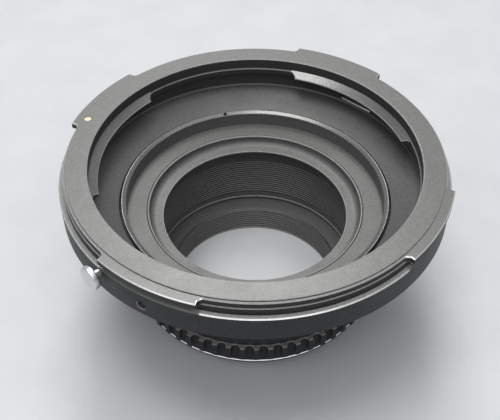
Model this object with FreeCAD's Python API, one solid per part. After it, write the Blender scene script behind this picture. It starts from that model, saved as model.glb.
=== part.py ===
import FreeCAD, Part
import math
import os

# Lens mount adapter: a 6x7 medium-format lens mount on a 35 mm single-lens-reflex bayonet.
# Millimetres and degrees. The optical axis is Z, the part stands on z = 0, and azimuths count
# from +X towards +Y.

# Heights along the optical axis
flange_spacing = 38.45
spigot_length = 6.55

# Room between pieces that are pressed, screwed or set against each other
seat_clearance = 0.02

# Lens seat and throat
throat_r = 38.0
throat_depth = 2.7
seat_width = 4.9
seat_step = 0.3
edge_break = 0.25

# Outer bayonet: lugs, their groove and the wall below it
outer_lug_count = 4
outer_lug_span = 30.2
outer_lug_azimuth = 60.5
outer_lug_reach = 1.8
outer_lug_thickness = 1.5
outer_lug_overhang = 0.4
notch_margin = 0.5
notch_fillet = 1.3
outer_groove_height = 1.7
outer_groove_recess = 0.3
wall_height = 6.1
wall_chamfer = 0.4

# Inner bayonet: lugs, their undercut and the bowl
inner_lug_azimuths = (44.4, 166.1, 285.2)
inner_lug_span = 58.3
inner_lug_reach = 1.9
inner_lug_slope = 1.1
inner_lug_thickness = 0.5
inner_gap_recess = 0.4
inner_gap_fillet = 2.0
undercut_depth = 1.5
undercut_height = 4.7
bowl_drop = 3.2

# Tool slot in the undercut wall
slot_azimuth = 49.0
slot_length = 9.4
slot_height = 1.8
slot_depth = 0.8
slot_above_floor = 0.5

# Camera bayonet
rear_bore_r = 20.6
rear_bore_chamfer = 0.5
spigot_wall = 1.3
camera_flange_reach = 1.6
camera_flange_thickness = 0.9
camera_lug_count = 3
camera_lug_span = 58.0
camera_lug_azimuth = 90.0
camera_lug_reach = 1.5
camera_lug_gap = 2.05
camera_lug_thickness = 1.4
camera_lug_fillet = 0.5
lock_notch_width = 2.4
lock_notch_depth = 0.6
lock_notch_reach = 3.4

# Inner sleeve and its light baffle
sleeve_ledge = 4.4
sleeve_wall = 4.2
sleeve_clearance = 0.1
foot_step = 0.8
baffle_seat = 0.95
baffle_reach = 3.85
baffle_thickness = 1.5
baffle_recess = 2.4
baffle_edge = 0.4
baffle_rim_width = 0.8
baffle_rim_chamfer = 0.2

# Threaded retaining ring
ring_margin = 1.3
ring_wall = 1.6
ring_lip_gap = 0.5
ring_lip_rise = 0.5
ring_lip_chamfer = 0.3
ring_height = 3.4
ring_thread_height = 1.9
thread_clearance = 0.08
spanner_slot_width = 0.8
spanner_slot_depth = 0.8
spanner_slot_azimuth = 105.0

# Hub that carries the sleeve
hub_bore_depth = 5.8
hub_wall = 2.9
hub_shoulder_thickness = 2.5
hub_chamfer = 0.6
shell_thickness = 2.4
shell_rim_width = 3.2

# Ribbed ring
rib_count = 60
rib_azimuth = 1.1
rib_reach = 2.9
rib_height = 4.1
rib_chamfer = 0.2
flute_r = 1.0
flute_depth = 1.25
collar_margin = 0.1
low_collar_height = 1.75
high_collar_height = 3.15

# Countersunk screws that hold the camera bayonet on the sleeve's foot
screw_count = 4
screw_azimuth = 45.0
screw_r = 0.9
screw_length = 4.6
screw_head_r = 1.7
screw_head_height = 0.8
screw_clearance = 0.05
cross_width = 0.45
cross_length = 1.9
cross_depth = 0.5

# Lens lock: a sprung pin in the wall with a pull head outside
lock_azimuth = 224.5
lock_below_ledge = 1.7
pin_stem_r = 1.0
pin_tip_r = 1.2
pin_tip_protrusion = 1.3
pin_tip_chamfer = 0.4
pin_collar_thickness = 0.5
pin_travel = 1.4
pin_clearance = 0.06
pin_thread_depth = 0.9
spring_room = 0.7
spring_wire_r = 0.11
spring_turns = 3
spring_steps = 12
spring_sides = 6
bush_recess = 0.1
bush_thickness = 0.6
head_r = 2.75
head_thickness = 1.45
head_gap = 1.5
head_edge = 0.35

# Stop screw in the wall, with a dog point in the undercut
stop_azimuth = 239.5
stop_below_ledge = 3.5
stop_r = 1.0
stop_recess = 0.9
stop_shoulder_recess = 0.3
stop_point_r = 0.65
stop_point_protrusion = 0.8
stop_mouth_chamfer = 0.2
stop_socket_across = 0.9
stop_socket_depth = 1.0

# Index dot in the seat
index_azimuth = 162.5
index_inset = 0.9
index_r = 0.8
index_depth = 0.8

# Radii of the lens side
seat_r = throat_r + seat_width
notch_r = seat_r + notch_margin
outer_groove_r = notch_r - outer_groove_recess
outer_lug_r = notch_r + outer_lug_reach
wall_r = outer_lug_r - outer_lug_overhang
inner_lug_r = throat_r - inner_lug_reach
inner_gap_r = throat_r + inner_gap_recess
undercut_r = throat_r + undercut_depth

# Radii of the camera side and the pieces round the light path
spigot_r = rear_bore_r + spigot_wall
camera_lug_r = spigot_r + camera_lug_reach
sleeve_bore_r = rear_bore_r + sleeve_ledge
sleeve_r = sleeve_bore_r + sleeve_wall
foot_r = sleeve_r - foot_step
baffle_r = sleeve_bore_r + baffle_seat
baffle_aperture_r = baffle_r - baffle_reach
ring_bore_r = sleeve_r + ring_margin
hub_bore_r = ring_bore_r + ring_wall
ring_lip_r = hub_bore_r - ring_lip_gap
hub_r = hub_bore_r + hub_wall
rib_r = foot_r + rib_reach
rib_root_r = rib_r - flute_depth
camera_flange_r = foot_r + camera_flange_reach
screw_circle_r = (sleeve_bore_r + foot_r) / 2

# Heights above the foot
camera_face_z = spigot_length
foot_z = camera_face_z + camera_flange_thickness
seat_z = camera_face_z + flange_spacing
lug_top_z = seat_z - seat_step
lug_low_z = lug_top_z - outer_lug_thickness
ledge_z = lug_low_z - outer_groove_height
wall_low_z = ledge_z - wall_height
throat_low_z = seat_z - throat_depth
inner_lug_edge_z = throat_low_z - inner_lug_slope
undercut_top_z = inner_lug_edge_z - inner_lug_thickness
bowl_top_z = undercut_top_z - undercut_height
bowl_low_z = bowl_top_z - bowl_drop
hub_shoulder_z = bowl_low_z - hub_bore_depth
hub_low_z = hub_shoulder_z - hub_shoulder_thickness
ring_low_z = bowl_low_z - ring_height
ring_top_z = bowl_low_z + ring_lip_rise
baffle_top_z = ring_low_z - baffle_recess
baffle_low_z = baffle_top_z - baffle_thickness
rib_low_z = foot_z + low_collar_height
rib_high_z = rib_low_z + rib_height
ribbed_ring_top_z = rib_high_z + high_collar_height
lock_z = ledge_z - lock_below_ledge
stop_z = ledge_z - stop_below_ledge

# Distances from the optical axis along the lens lock
pocket_r = pin_stem_r + spring_room
spring_r = (pin_stem_r + pocket_r) / 2
bush_face = undercut_r + bush_recess
collar_near = bush_face + bush_thickness + seat_clearance
collar_far = collar_near + pin_collar_thickness
spring_solid_length = 2 * spring_wire_r * (spring_turns + 1)
pocket_end = collar_far + pin_travel + spring_solid_length
pin_tip_end = throat_r - pin_tip_protrusion
head_back = wall_r + head_gap

ORIGIN = FreeCAD.Vector(0, 0, 0)
AXIS = FreeCAD.Vector(0, 0, 1)
OUTWARD = FreeCAD.Vector(1, 0, 0)
INDEX_PLACE = FreeCAD.Vector(seat_r - index_inset, 0, seat_z - index_depth)
MARGIN = 2.0
TOUCHING = 1e-4
SOCKET_SIDES = 6


def turned(profile):
    """Solid of revolution about the optical axis from (radius, height) corners."""
    corners = [FreeCAD.Vector(r, 0, z) for r, z in profile]
    face = Part.Face(Part.makePolygon(corners + corners[:1]))
    return face.revolve(ORIGIN, AXIS, 360)


def turn_to(shape, azimuth):
    """Copy of a shape, turned about the optical axis."""
    copy = shape.copy()
    copy.rotate(ORIGIN, AXIS, azimuth)
    return copy


def around(shape, count, azimuth):
    """Copies of a shape at equal steps, the first at the given azimuth."""
    return [turn_to(shape, azimuth + 360.0 * i / count) for i in range(count)]


def sector(inner_r, outer_r, span, low, high):
    """Part of a ring, centred on azimuth 0."""
    outer = Part.makeCylinder(outer_r, high - low, FreeCAD.Vector(0, 0, low), AXIS, span)
    inner = Part.makeCylinder(inner_r, high - low, FreeCAD.Vector(0, 0, low), AXIS, 360)
    return turn_to(outer.cut(inner), -span / 2)


def upright_edges(shape, radius):
    """Edges parallel to the optical axis at one radius."""
    found = []
    for edge in shape.Edges:
        start = edge.Vertexes[0].Point
        end = edge.Vertexes[-1].Point
        at_radius = abs(math.hypot(start.x, start.y) - radius) < TOUCHING
        upright = math.hypot(start.x - end.x, start.y - end.y) < TOUCHING
        if at_radius and upright and abs(start.z - end.z) > TOUCHING:
            found.append(edge)
    return found


def rod(radius, near, far, z):
    """Cylinder along +X at one height."""
    return Part.makeCylinder(radius, far - near, FreeCAD.Vector(near, 0, z), OUTWARD)


def turned_on_x(profile, z):
    """Solid of revolution about the line along +X at one height, from (distance, radius) corners."""
    corners = [FreeCAD.Vector(x, 0, z + r) for x, r in profile]
    face = Part.Face(Part.makePolygon(corners + corners[:1]))
    return face.revolve(FreeCAD.Vector(0, 0, z), OUTWARD, 360)


def outer_lug_outline(body):
    """Edges of the lug tops and notches that get a broken edge."""
    edges = []
    for edge in body.Edges:
        points = edge.discretize(5)
        radii = [math.hypot(p.x, p.y) for p in points]
        on_top = all(abs(p.z - lug_top_z) < TOUCHING for p in points)
        if on_top and min(radii) > (seat_r + notch_r) / 2:
            edges.append(edge)
    return edges


def body_blank():
    """The turned blank: full outer flange and full inner lug ring."""
    underside_z = wall_low_z - wall_chamfer
    profile = [
        (throat_r, seat_z - edge_break),
        (throat_r + edge_break, seat_z),
        (seat_r, seat_z),
        (seat_r, lug_top_z),
        (outer_lug_r, lug_top_z),
        (outer_lug_r, lug_low_z),
        (outer_groove_r, lug_low_z),
        (outer_groove_r, ledge_z),
        (wall_r - edge_break, ledge_z),
        (wall_r, ledge_z - edge_break),
        (wall_r, wall_low_z),
        (wall_r - wall_chamfer, underside_z),
        (wall_r - shell_rim_width, underside_z),
        (hub_r, bowl_low_z - shell_thickness),
        (hub_r, hub_low_z + hub_chamfer),
        (hub_r - hub_chamfer, hub_low_z),
        (sleeve_r + sleeve_clearance, hub_low_z),
        (sleeve_r + sleeve_clearance, hub_shoulder_z),
        (hub_bore_r, hub_shoulder_z),
        (hub_bore_r, bowl_low_z),
        (undercut_r, bowl_top_z),
        (undercut_r, undercut_top_z),
        (inner_lug_r, undercut_top_z),
        (inner_lug_r, inner_lug_edge_z),
        (throat_r, throat_low_z),
    ]
    return turned(profile)


def outer_notches():
    """Cutters between the outer lugs, round in their root corners."""
    span = 360.0 / outer_lug_count - outer_lug_span
    cutter = sector(notch_r, outer_lug_r + MARGIN, span, lug_low_z, seat_z + MARGIN)
    cutter = cutter.makeFillet(notch_fillet, upright_edges(cutter, notch_r))
    return around(cutter, outer_lug_count, outer_lug_azimuth + 180.0 / outer_lug_count)


def inner_gaps():
    """Cutters between the inner lugs, round where they meet the wall."""
    low = undercut_top_z - MARGIN / 4
    following = inner_lug_azimuths[1:] + inner_lug_azimuths[:1]
    cutters = []
    for here, there in zip(inner_lug_azimuths, following):
        pitch = (there - here) % 360
        cutter = sector(inner_lug_r - MARGIN, inner_gap_r, pitch - inner_lug_span, low, throat_low_z)
        cutter = cutter.makeFillet(inner_gap_fillet, upright_edges(cutter, inner_gap_r))
        cutters.append(turn_to(cutter, here + pitch / 2))
    return cutters


def tool_slot():
    """Cutter for the short straight slot in the undercut wall."""
    chord = math.sqrt(undercut_r ** 2 - slot_length ** 2 / 4)
    depth = undercut_r - chord + slot_depth
    corner = FreeCAD.Vector(chord - MARGIN / 2, -slot_length / 2, bowl_top_z + slot_above_floor)
    cutter = Part.makeBox(depth + MARGIN / 2, slot_length, slot_height, corner)
    return turn_to(cutter, slot_azimuth)


def lock_bores():
    """Cutter for the pin's stem hole and its spring pocket."""
    stem_hole = rod(pin_stem_r + pin_clearance, throat_r, wall_r + MARGIN, lock_z)
    pocket = rod(pocket_r, throat_r - MARGIN / 2, pocket_end, lock_z)
    return turn_to(stem_hole.fuse(pocket), lock_azimuth)


def stop_bore():
    """Cutter for the stop screw's hole, with a countersunk mouth."""
    hole_r = stop_r + screw_clearance
    near = undercut_r - MARGIN
    profile = [
        (near, 0),
        (wall_r + MARGIN, 0),
        (wall_r + MARGIN, hole_r + stop_mouth_chamfer + MARGIN),
        (wall_r - stop_mouth_chamfer, hole_r),
        (near, hole_r),
    ]
    return turn_to(turned_on_x(profile, stop_z), stop_azimuth)


def index_hole():
    """Cutter for the index dot's blind hole."""
    hole = Part.makeCylinder(index_r + seat_clearance, index_depth + MARGIN, INDEX_PLACE, AXIS)
    return turn_to(hole, index_azimuth)


def lens_mount_body():
    body = body_blank()
    cutters = outer_notches() + inner_gaps()
    body = body.cut(cutters)
    body = body.makeChamfer(edge_break, outer_lug_outline(body))
    return body.cut([tool_slot(), lock_bores(), stop_bore(), index_hole()])


def index_dot():
    return turn_to(Part.makeCylinder(index_r, index_depth, INDEX_PLACE, AXIS), index_azimuth)


def stop_screw():
    """Grub screw with a dog point and a hexagon socket."""
    end = wall_r - stop_recess
    shoulder = undercut_r + stop_shoulder_recess
    point = undercut_r - stop_point_protrusion
    profile = [
        (point, 0),
        (end, 0),
        (end, stop_r),
        (shoulder, stop_r),
        (shoulder, stop_point_r),
        (point, stop_point_r),
    ]
    screw = turned_on_x(profile, stop_z)
    corner_r = stop_socket_across / 2 / math.cos(math.pi / SOCKET_SIDES)
    corners = []
    for i in range(SOCKET_SIDES + 1):
        angle = 2 * math.pi * i / SOCKET_SIDES
        corners.append(FreeCAD.Vector(end, corner_r * math.cos(angle), stop_z + corner_r * math.sin(angle)))
    socket = Part.Face(Part.makePolygon(corners)).extrude(OUTWARD * -stop_socket_depth)
    return turn_to(screw.cut(socket), stop_azimuth)


def lock_pin():
    """Turned pin: tip, collar and a stem that ends in the pull head."""
    collar_r = pocket_r - pin_clearance
    end = head_back + pin_thread_depth
    profile = [
        (pin_tip_end, 0),
        (end, 0),
        (end, pin_stem_r),
        (collar_far, pin_stem_r),
        (collar_far, collar_r),
        (collar_near, collar_r),
        (collar_near, pin_tip_r),
        (pin_tip_end + pin_tip_chamfer, pin_tip_r),
        (pin_tip_end, pin_tip_r - pin_tip_chamfer),
    ]
    return turn_to(turned_on_x(profile, lock_z), lock_azimuth)


def lock_head():
    """Mushroom pull head, screwed on the stem."""
    face = head_back + head_thickness
    bore_end = head_back + pin_thread_depth
    profile = [
        (head_back, pin_stem_r + seat_clearance),
        (bore_end, pin_stem_r + seat_clearance),
        (bore_end, 0),
        (face, 0),
        (face, head_r - head_edge),
        (face - head_edge, head_r),
        (head_back + head_edge, head_r),
        (head_back, head_r - head_edge),
    ]
    return turn_to(turned_on_x(profile, lock_z), lock_azimuth)


def lock_bush():
    """Short bush that closes the spring pocket and guides the tip."""
    far = bush_face + bush_thickness
    bush = rod(pocket_r - seat_clearance, bush_face, far, lock_z)
    hole = rod(pin_tip_r + pin_clearance, bush_face - MARGIN, far + MARGIN, lock_z)
    return turn_to(bush.cut(hole), lock_azimuth)


def lock_spring():
    """Compression spring between the pin's collar and the pocket's end, in short straight steps."""
    near = collar_far + seat_clearance + spring_wire_r
    far = pocket_end - seat_clearance - spring_wire_r
    steps = spring_turns * spring_steps
    sections = []
    for i in range(steps + 1):
        turn = 2 * math.pi * i / spring_steps
        along = near + (far - near) * i / steps
        corners = []
        for k in range(spring_sides + 1):
            round_wire = 2 * math.pi * k / spring_sides
            out = spring_r + spring_wire_r * math.cos(round_wire)
            x = along + spring_wire_r * math.sin(round_wire)
            corners.append(FreeCAD.Vector(x, out * math.cos(turn), lock_z + out * math.sin(turn)))
        sections.append(Part.makePolygon(corners))
    return turn_to(Part.makeLoft(sections, True, True), lock_azimuth)


def retaining_ring():
    """Threaded ring with a bevelled lip and two spanner slots."""
    thread_r = hub_bore_r - thread_clearance
    profile = [
        (ring_bore_r, ring_low_z),
        (thread_r, ring_low_z),
        (thread_r, ring_low_z + ring_thread_height),
        (ring_lip_r, ring_low_z + ring_thread_height + (thread_r - ring_lip_r)),
        (ring_lip_r, ring_top_z - ring_lip_chamfer),
        (ring_lip_r - ring_lip_chamfer, ring_top_z),
        (ring_bore_r + ring_lip_chamfer, ring_top_z),
        (ring_bore_r, ring_top_z - ring_lip_chamfer),
    ]
    corner = FreeCAD.Vector(ring_bore_r - MARGIN, -spanner_slot_width / 2, ring_top_z - spanner_slot_depth)
    length = hub_bore_r - ring_bore_r + 2 * MARGIN
    slot = Part.makeBox(length, spanner_slot_width, spanner_slot_depth + MARGIN, corner)
    return turned(profile).cut(around(slot, 2, spanner_slot_azimuth))


def screw_place(z):
    return FreeCAD.Vector(screw_circle_r, 0, z)


def inner_sleeve():
    """Tube with a flange on top, a baffle recess and a stepped foot."""
    flange_r = hub_bore_r - thread_clearance
    profile = [
        (baffle_r + edge_break, ring_low_z),
        (flange_r, ring_low_z),
        (flange_r, hub_shoulder_z),
        (sleeve_r, hub_shoulder_z),
        (sleeve_r, ribbed_ring_top_z),
        (foot_r, ribbed_ring_top_z),
        (foot_r, foot_z),
        (sleeve_bore_r, foot_z),
        (sleeve_bore_r, baffle_low_z),
        (baffle_r, baffle_low_z),
        (baffle_r, ring_low_z - edge_break),
    ]
    depth = screw_length - camera_flange_thickness + screw_clearance
    hole = Part.makeCylinder(screw_r + screw_clearance, depth + MARGIN, screw_place(foot_z - MARGIN), AXIS)
    return turned(profile).cut(around(hole, screw_count, screw_azimuth))


def light_baffle():
    """Threaded cup with a bevelled rim and the aperture, brought to a thin edge from below."""
    outer_r = baffle_r - thread_clearance
    rim_r = outer_r - baffle_rim_width
    bevel = baffle_thickness - baffle_edge
    profile = [
        (baffle_aperture_r, baffle_top_z),
        (rim_r, baffle_top_z),
        (rim_r, ring_low_z - baffle_rim_chamfer),
        (rim_r + baffle_rim_chamfer, ring_low_z),
        (outer_r - baffle_rim_chamfer, ring_low_z),
        (outer_r, ring_low_z - baffle_rim_chamfer),
        (outer_r, baffle_low_z),
        (baffle_aperture_r + bevel, baffle_low_z),
        (baffle_aperture_r, baffle_top_z - baffle_edge),
    ]
    return turned(profile)


def ribbed_ring():
    """Grip ring: round flutes leave flat-topped ribs between two plain collars."""
    bore_r = foot_r + sleeve_clearance
    collar_r = rib_root_r - collar_margin
    ring = turned([
        (bore_r, foot_z),
        (collar_r, foot_z),
        (collar_r, rib_low_z),
        (rib_r - rib_chamfer, rib_low_z),
        (rib_r, rib_low_z + rib_chamfer),
        (rib_r, rib_high_z - rib_chamfer),
        (rib_r - rib_chamfer, rib_high_z),
        (collar_r, rib_high_z),
        (collar_r, ribbed_ring_top_z),
        (bore_r, ribbed_ring_top_z),
    ])
    place = FreeCAD.Vector(rib_root_r + flute_r, 0, foot_z)
    flute = Part.makeCylinder(flute_r, ribbed_ring_top_z - foot_z, place, AXIS)
    return ring.cut(around(flute, rib_count, rib_azimuth + 180.0 / rib_count))


def camera_bayonet():
    """Flange plate, spigot and lugs of the camera side."""
    lug_high_z = camera_face_z - camera_lug_gap
    lug_low = lug_high_z - camera_lug_thickness
    plate = turned([
        (rear_bore_r, 0),
        (spigot_r - edge_break, 0),
        (spigot_r, edge_break),
        (spigot_r, camera_face_z),
        (camera_flange_r - edge_break, camera_face_z),
        (camera_flange_r, camera_face_z + edge_break),
        (camera_flange_r, foot_z - edge_break),
        (camera_flange_r - edge_break, foot_z),
        (rear_bore_r + rear_bore_chamfer, foot_z),
        (rear_bore_r, foot_z - rear_bore_chamfer),
    ])
    lug = sector((rear_bore_r + spigot_r) / 2, camera_lug_r, camera_lug_span, lug_low, lug_high_z)
    lug = lug.makeFillet(camera_lug_fillet, upright_edges(lug, camera_lug_r))
    plate = plate.fuse(around(lug, camera_lug_count, camera_lug_azimuth)).removeSplitter()
    shank = Part.makeCylinder(screw_r + screw_clearance, camera_flange_thickness + 2 * MARGIN,
                              screw_place(camera_face_z - MARGIN), AXIS)
    cone = Part.makeCone(screw_head_r + screw_clearance, screw_r + screw_clearance, screw_head_height,
                         screw_place(camera_face_z), AXIS)
    corner = FreeCAD.Vector(camera_flange_r - lock_notch_reach, -lock_notch_width / 2, camera_face_z - MARGIN)
    notch = Part.makeBox(lock_notch_reach + MARGIN, lock_notch_width, lock_notch_depth + MARGIN, corner)
    cutters = around(shank.fuse(cone), screw_count, screw_azimuth) + [notch]
    return plate.cut(cutters)


def bayonet_screws():
    """Countersunk screws with a cross recess, heads flush with the camera flange."""
    head = Part.makeCone(screw_head_r, screw_r, screw_head_height, screw_place(camera_face_z), AXIS)
    shank = Part.makeCylinder(screw_r, screw_length, screw_place(camera_face_z), AXIS)
    screw = head.fuse(shank).removeSplitter()
    for length, width in ((cross_length, cross_width), (cross_width, cross_length)):
        corner = FreeCAD.Vector(screw_circle_r - length / 2, -width / 2, camera_face_z - MARGIN)
        screw = screw.cut(Part.makeBox(length, width, cross_depth + MARGIN, corner))
    return Part.makeCompound(around(screw, screw_count, screw_azimuth))


pieces = [
    lens_mount_body,
    index_dot,
    stop_screw,
    lock_pin,
    lock_head,
    lock_bush,
    lock_spring,
    retaining_ring,
    inner_sleeve,
    light_baffle,
    ribbed_ring,
    camera_bayonet,
    bayonet_screws,
]

os.makedirs("parts", exist_ok=True)
for piece in pieces:
    shape = piece()
    shape.exportStep("parts/" + piece.__name__ + ".step")
    print(piece.__name__, shape.isValid(), len(shape.Solids), round(shape.Volume, 1))
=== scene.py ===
import bisect
import math
import bmesh
import bpy
from mathutils import Matrix, Vector


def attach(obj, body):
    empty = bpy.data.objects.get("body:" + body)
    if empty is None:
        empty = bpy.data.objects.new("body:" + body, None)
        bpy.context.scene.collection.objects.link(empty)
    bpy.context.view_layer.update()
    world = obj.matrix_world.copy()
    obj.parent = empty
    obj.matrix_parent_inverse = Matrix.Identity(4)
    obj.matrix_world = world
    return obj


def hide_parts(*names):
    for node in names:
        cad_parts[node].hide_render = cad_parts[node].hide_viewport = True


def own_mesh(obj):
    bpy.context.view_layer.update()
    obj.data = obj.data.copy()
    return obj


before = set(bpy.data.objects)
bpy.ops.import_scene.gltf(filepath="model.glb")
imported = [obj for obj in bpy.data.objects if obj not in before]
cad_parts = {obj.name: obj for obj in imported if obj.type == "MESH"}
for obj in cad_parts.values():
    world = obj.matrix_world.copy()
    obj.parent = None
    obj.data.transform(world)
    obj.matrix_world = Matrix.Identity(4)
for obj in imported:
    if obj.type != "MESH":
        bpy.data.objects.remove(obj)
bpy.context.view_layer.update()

MM = 0.001
TAU = 2 * math.pi

# Sizes of the object in millimetres and degrees. The groove's wall, the gaps' wall, the baffle's rim
# and the small edges are finer than in the solids.
SEAT_Z = 45.0
LUG_TOP_Z = 44.7
LUG_LOW_Z = 43.2
LEDGE_Z = 41.5
WALL_LOW_Z = 35.4
WALL_CHAMFER = 0.4
UNDERSIDE_Z = 35.0
UNDERSIDE_EDGE_R = 41.6
THROAT_R = 38.0
THROAT_LOW_Z = 42.3
SEAT_R = 42.9
NOTCH_R = 43.4
GROOVE_R = 43.7
OUTER_LUG_R = 45.2
WALL_R = 44.8
OUTER_LUGS = [60.5 + 90 * i for i in range(4)]
OUTER_LUG_SPAN = 30.2
NOTCH_FILLET = 1.3
EDGE_BREAK = 0.25
INNER_LUGS = [44.4, 166.1, 285.2]
INNER_LUG_SPAN = 58.3
INNER_LUG_R = 36.1
INNER_GAP_R = 37.7
INNER_GAP_FILLET = 2.0
INNER_SLOPE = 1.1 / 1.9
UNDERCUT_R = 39.5
UNDERCUT_TOP_Z = 40.7
BOWL_TOP_Z = 36.0
BOWL_LOW_Z = 32.8
BOWL_SLOPE = 0.43
HUB_BORE_R = 32.1
HUB_SHOULDER_Z = 27.0
HUB_LOW_Z = 24.5
HUB_TOP_Z = 30.4
HUB_CHAMFER = 0.6
HUB_R = 35.0
SLEEVE_R = 29.2
SLEEVE_BORE_R = 25.0
SLEEVE_TOP_Z = 29.4
SLEEVE_GROOVES_Z = (10.4, 21.6)
SLEEVE_PLAIN_Z = 21.8
SLEEVE_FILLET = 0.1
SLEEVE_SEAT_FILLET = 0.08
BAFFLE_R = 25.95
BAFFLE_RIM_WIDTH = 0.5
BAFFLE_APERTURE_R = 22.1
BAFFLE_TOP_Z = 27.0
BAFFLE_LOW_Z = 25.5
BAFFLE_EDGE = 0.4
BAFFLE_BEVEL = 1.1
BAFFLE_COVE = 1.5
BAFFLE_APERTURE_FILLET = 0.12
BAFFLE_RIM_FILLET = 0.25
BAFFLE_SEAT_FILLET = 0.15
BAFFLE_FOOT_FILLET = 0.1
RING_BORE_R = 30.5
RING_LIP_R = 31.6
RING_TOP_Z = 33.3
RING_THREAD = 1.9
LIP_RIM = 0.2
LIP_RIM_DROP = 0.02
LIP_DROP = 0.46
LIP_EDGE_FILLET = 0.06
LIP_RIM_FILLET = 0.15
LIP_BORE_FILLET = 0.3
SPANNER_SLOTS = [105, 285]
SPANNER_SLOT_REACH = (28.0, 34.0)
SPANNER_SLOT_HALF = 0.4
SPANNER_SLOT_DEPTH = 0.8
FOOT_R = 28.4
FOOT_Z = 7.45
FOOT_BORE_STEP = 0.2
RIB_R = 31.3
RIB_ROOT_R = 30.05
RIB_COLLAR_R = 29.95
RIB_LOW_Z = 9.2
RIB_HIGH_Z = 13.3
RIB_RING_TOP_Z = 16.45
RIB_COUNT = 60
RIB_AZIMUTH = 1.1
RIB_CHAMFER = 0.2
FLUTE_R = 1.0
CAMERA_FACE_Z = 6.55
CAMERA_FLANGE_R = 30.0
REAR_BORE_R = 20.6
REAR_CHAMFER = 0.5
REAR_EDGE = 0.1
REAR_GROOVES_Z = (0.4, FOOT_Z - 0.9)
SPIGOT_R = 21.9
CAMERA_LUG_R = 23.4
CAMERA_LUGS = [90, 210, 330]
CAMERA_LUG_SPAN = 58.0
CAMERA_LUG_FILLET = 0.2
CAMERA_LUG_LOW_Z = 3.1
CAMERA_LUG_HIGH_Z = 4.5
CAMERA_NOTCH = ((26.6, -1.2, 5.0), (32.0, 1.2, CAMERA_FACE_Z + 0.6))
SCREW_CIRCLE_R = 26.7
SCREWS = [45 + 90 * i for i in range(4)]
SCREW_HOLE_R = 0.95
SCREW_HOLE_TOP_Z = 11.2
SCREW_HEAD_R = 1.75
SCREW_HEAD_LOW_Z = 5.0
SCREW_SINK = 0.8
LOCK_AZIMUTH = 224.5
LOCK_Z = 39.8
HEAD_R = 2.75
HEAD_BACK = 46.3
HEAD_FACE = 47.75
HEAD_BACK_ROUND = 0.3
HEAD_FACE_ROUND = 0.35
HEAD_DOME = 0.1
STEM_R = 1.0
STEM_CLEARANCE = 0.06
STEM_HOLE = (42.0, 46.0)
POCKET_R = 1.7
POCKET_START = 37.0
POCKET_END = 43.0
SPRING_START = 40.74
SPRING_END = 42.98
SPRING_R = 1.35
SPRING_WIRE_R = 0.11
SPRING_TURNS = 3
STOP_AZIMUTH = 239.5
STOP_Z = 38.0
STOP_R = 1.05
STOP_START = 38.0
STOP_MOUTH = [(-0.2, -0.05), (1.05, 1.2)]
SLOT_AZIMUTH = 49.0
SLOT = ((38.2, -4.7, 36.5), (40.02, 4.7, 38.3))
SLOT_FLOOR = ((38.2, -4.6, 36.3), (39.9, 4.6, 37.2))
INDEX_AZIMUTH = 162.5
INDEX_RADIUS = 42.0
INDEX_R = 0.8
INDEX_DEPTH = 0.8
INDEX_CLEARANCE = 0.02
ENAMEL_DROP = 0.04
ENAMEL_RIM = 0.06
ENAMEL_DOME = 0.08
SEAT_CLEARANCE = 0.08
BORE_CLEARANCE = 0.1
GROOVE_PITCH = 0.74
GROOVE_DEPTH = 0.34
GROOVE_CREST_SHARE = 0.18
GROOVE_FLOOR_SHARES = (0.30, 0.66)
EDGE = 0.12

# Fineness of the meshes
COLUMNS = 720
COLUMN_GAP = 4e-5
GUARD = 0.03
WELD = 1e-8
CUT_PAST = 1.0
DOME_STEPS = 7
ROUND_STEPS = 6
ROUND_SIDES = 64
HOLE_SIDES = 32
HEAD_SIDES = 96
SPRING_STEPS = 32
SPRING_SIDES = 12
TONE_MARGIN = 0.1

# Tones of the black pieces, as places in their material lists. Some of them are painted light and
# shade: the darkest and the shaded tones are painted shade, the mid, light and palest tones paint
# light on lit faces and edge lines, and the pale edge tone is wear with a painted highlight.
BLACK, RUBBED, WEAR_AND_HIGHLIGHT, DEEP_SHADE, POLISHED, MID_TONE, PAINTED_LIGHT, BARE, SHADED, MILD_LIGHT = range(10)

# Steps below the sleeve's grooves, as (radius past the bore, height, tone up to the next step). The
# light tone of the chamfer at 8.6 mm is a painted highlight line; the others take the mid tone.
SLEEVE_STEPS = [
    (0.0, 10.2, MID_TONE),
    (0.5, 10.15, MID_TONE),
    (0.5, 9.8, MID_TONE),
    (0.0, 9.7, MID_TONE),
    (0.0, 8.6, PAINTED_LIGHT),
    (-0.25, 8.3, MID_TONE),
    (-0.25, 8.0, MID_TONE),
    (FOOT_BORE_STEP, 7.85, MID_TONE),
]

# Grain of the surfaces: noise scales per metre, the used range of the noise and the depth of the bumps
GRAIN_SCALE = 1900.0
CLOUD_SCALE = 160.0
NOISE_LOW = 0.3
NOISE_HIGH = 0.7
BUMP_STRENGTH = 0.5
BUMP_HEIGHT = 0.00006

# Camera, worked out from the object's concentric circles
IMAGE_WIDTH = 500
SENSOR_WIDTH = 36.0
FOCAL_PIXELS = 835.4
CAMERA_DISTANCE = 5.018 * THROAT_R * MM
CAMERA_ELEVATION = math.radians(40.62)
PIXELS_RIGHT = 4.9
PIXELS_UP = -55.8
CAMERA_PAN = math.atan2(PIXELS_RIGHT, FOCAL_PIXELS)
CAMERA_TILT = math.atan2(PIXELS_UP, FOCAL_PIXELS)
CAMERA_ROLL = math.radians(0.37)
FLOOR_HALF = 1.5


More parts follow.
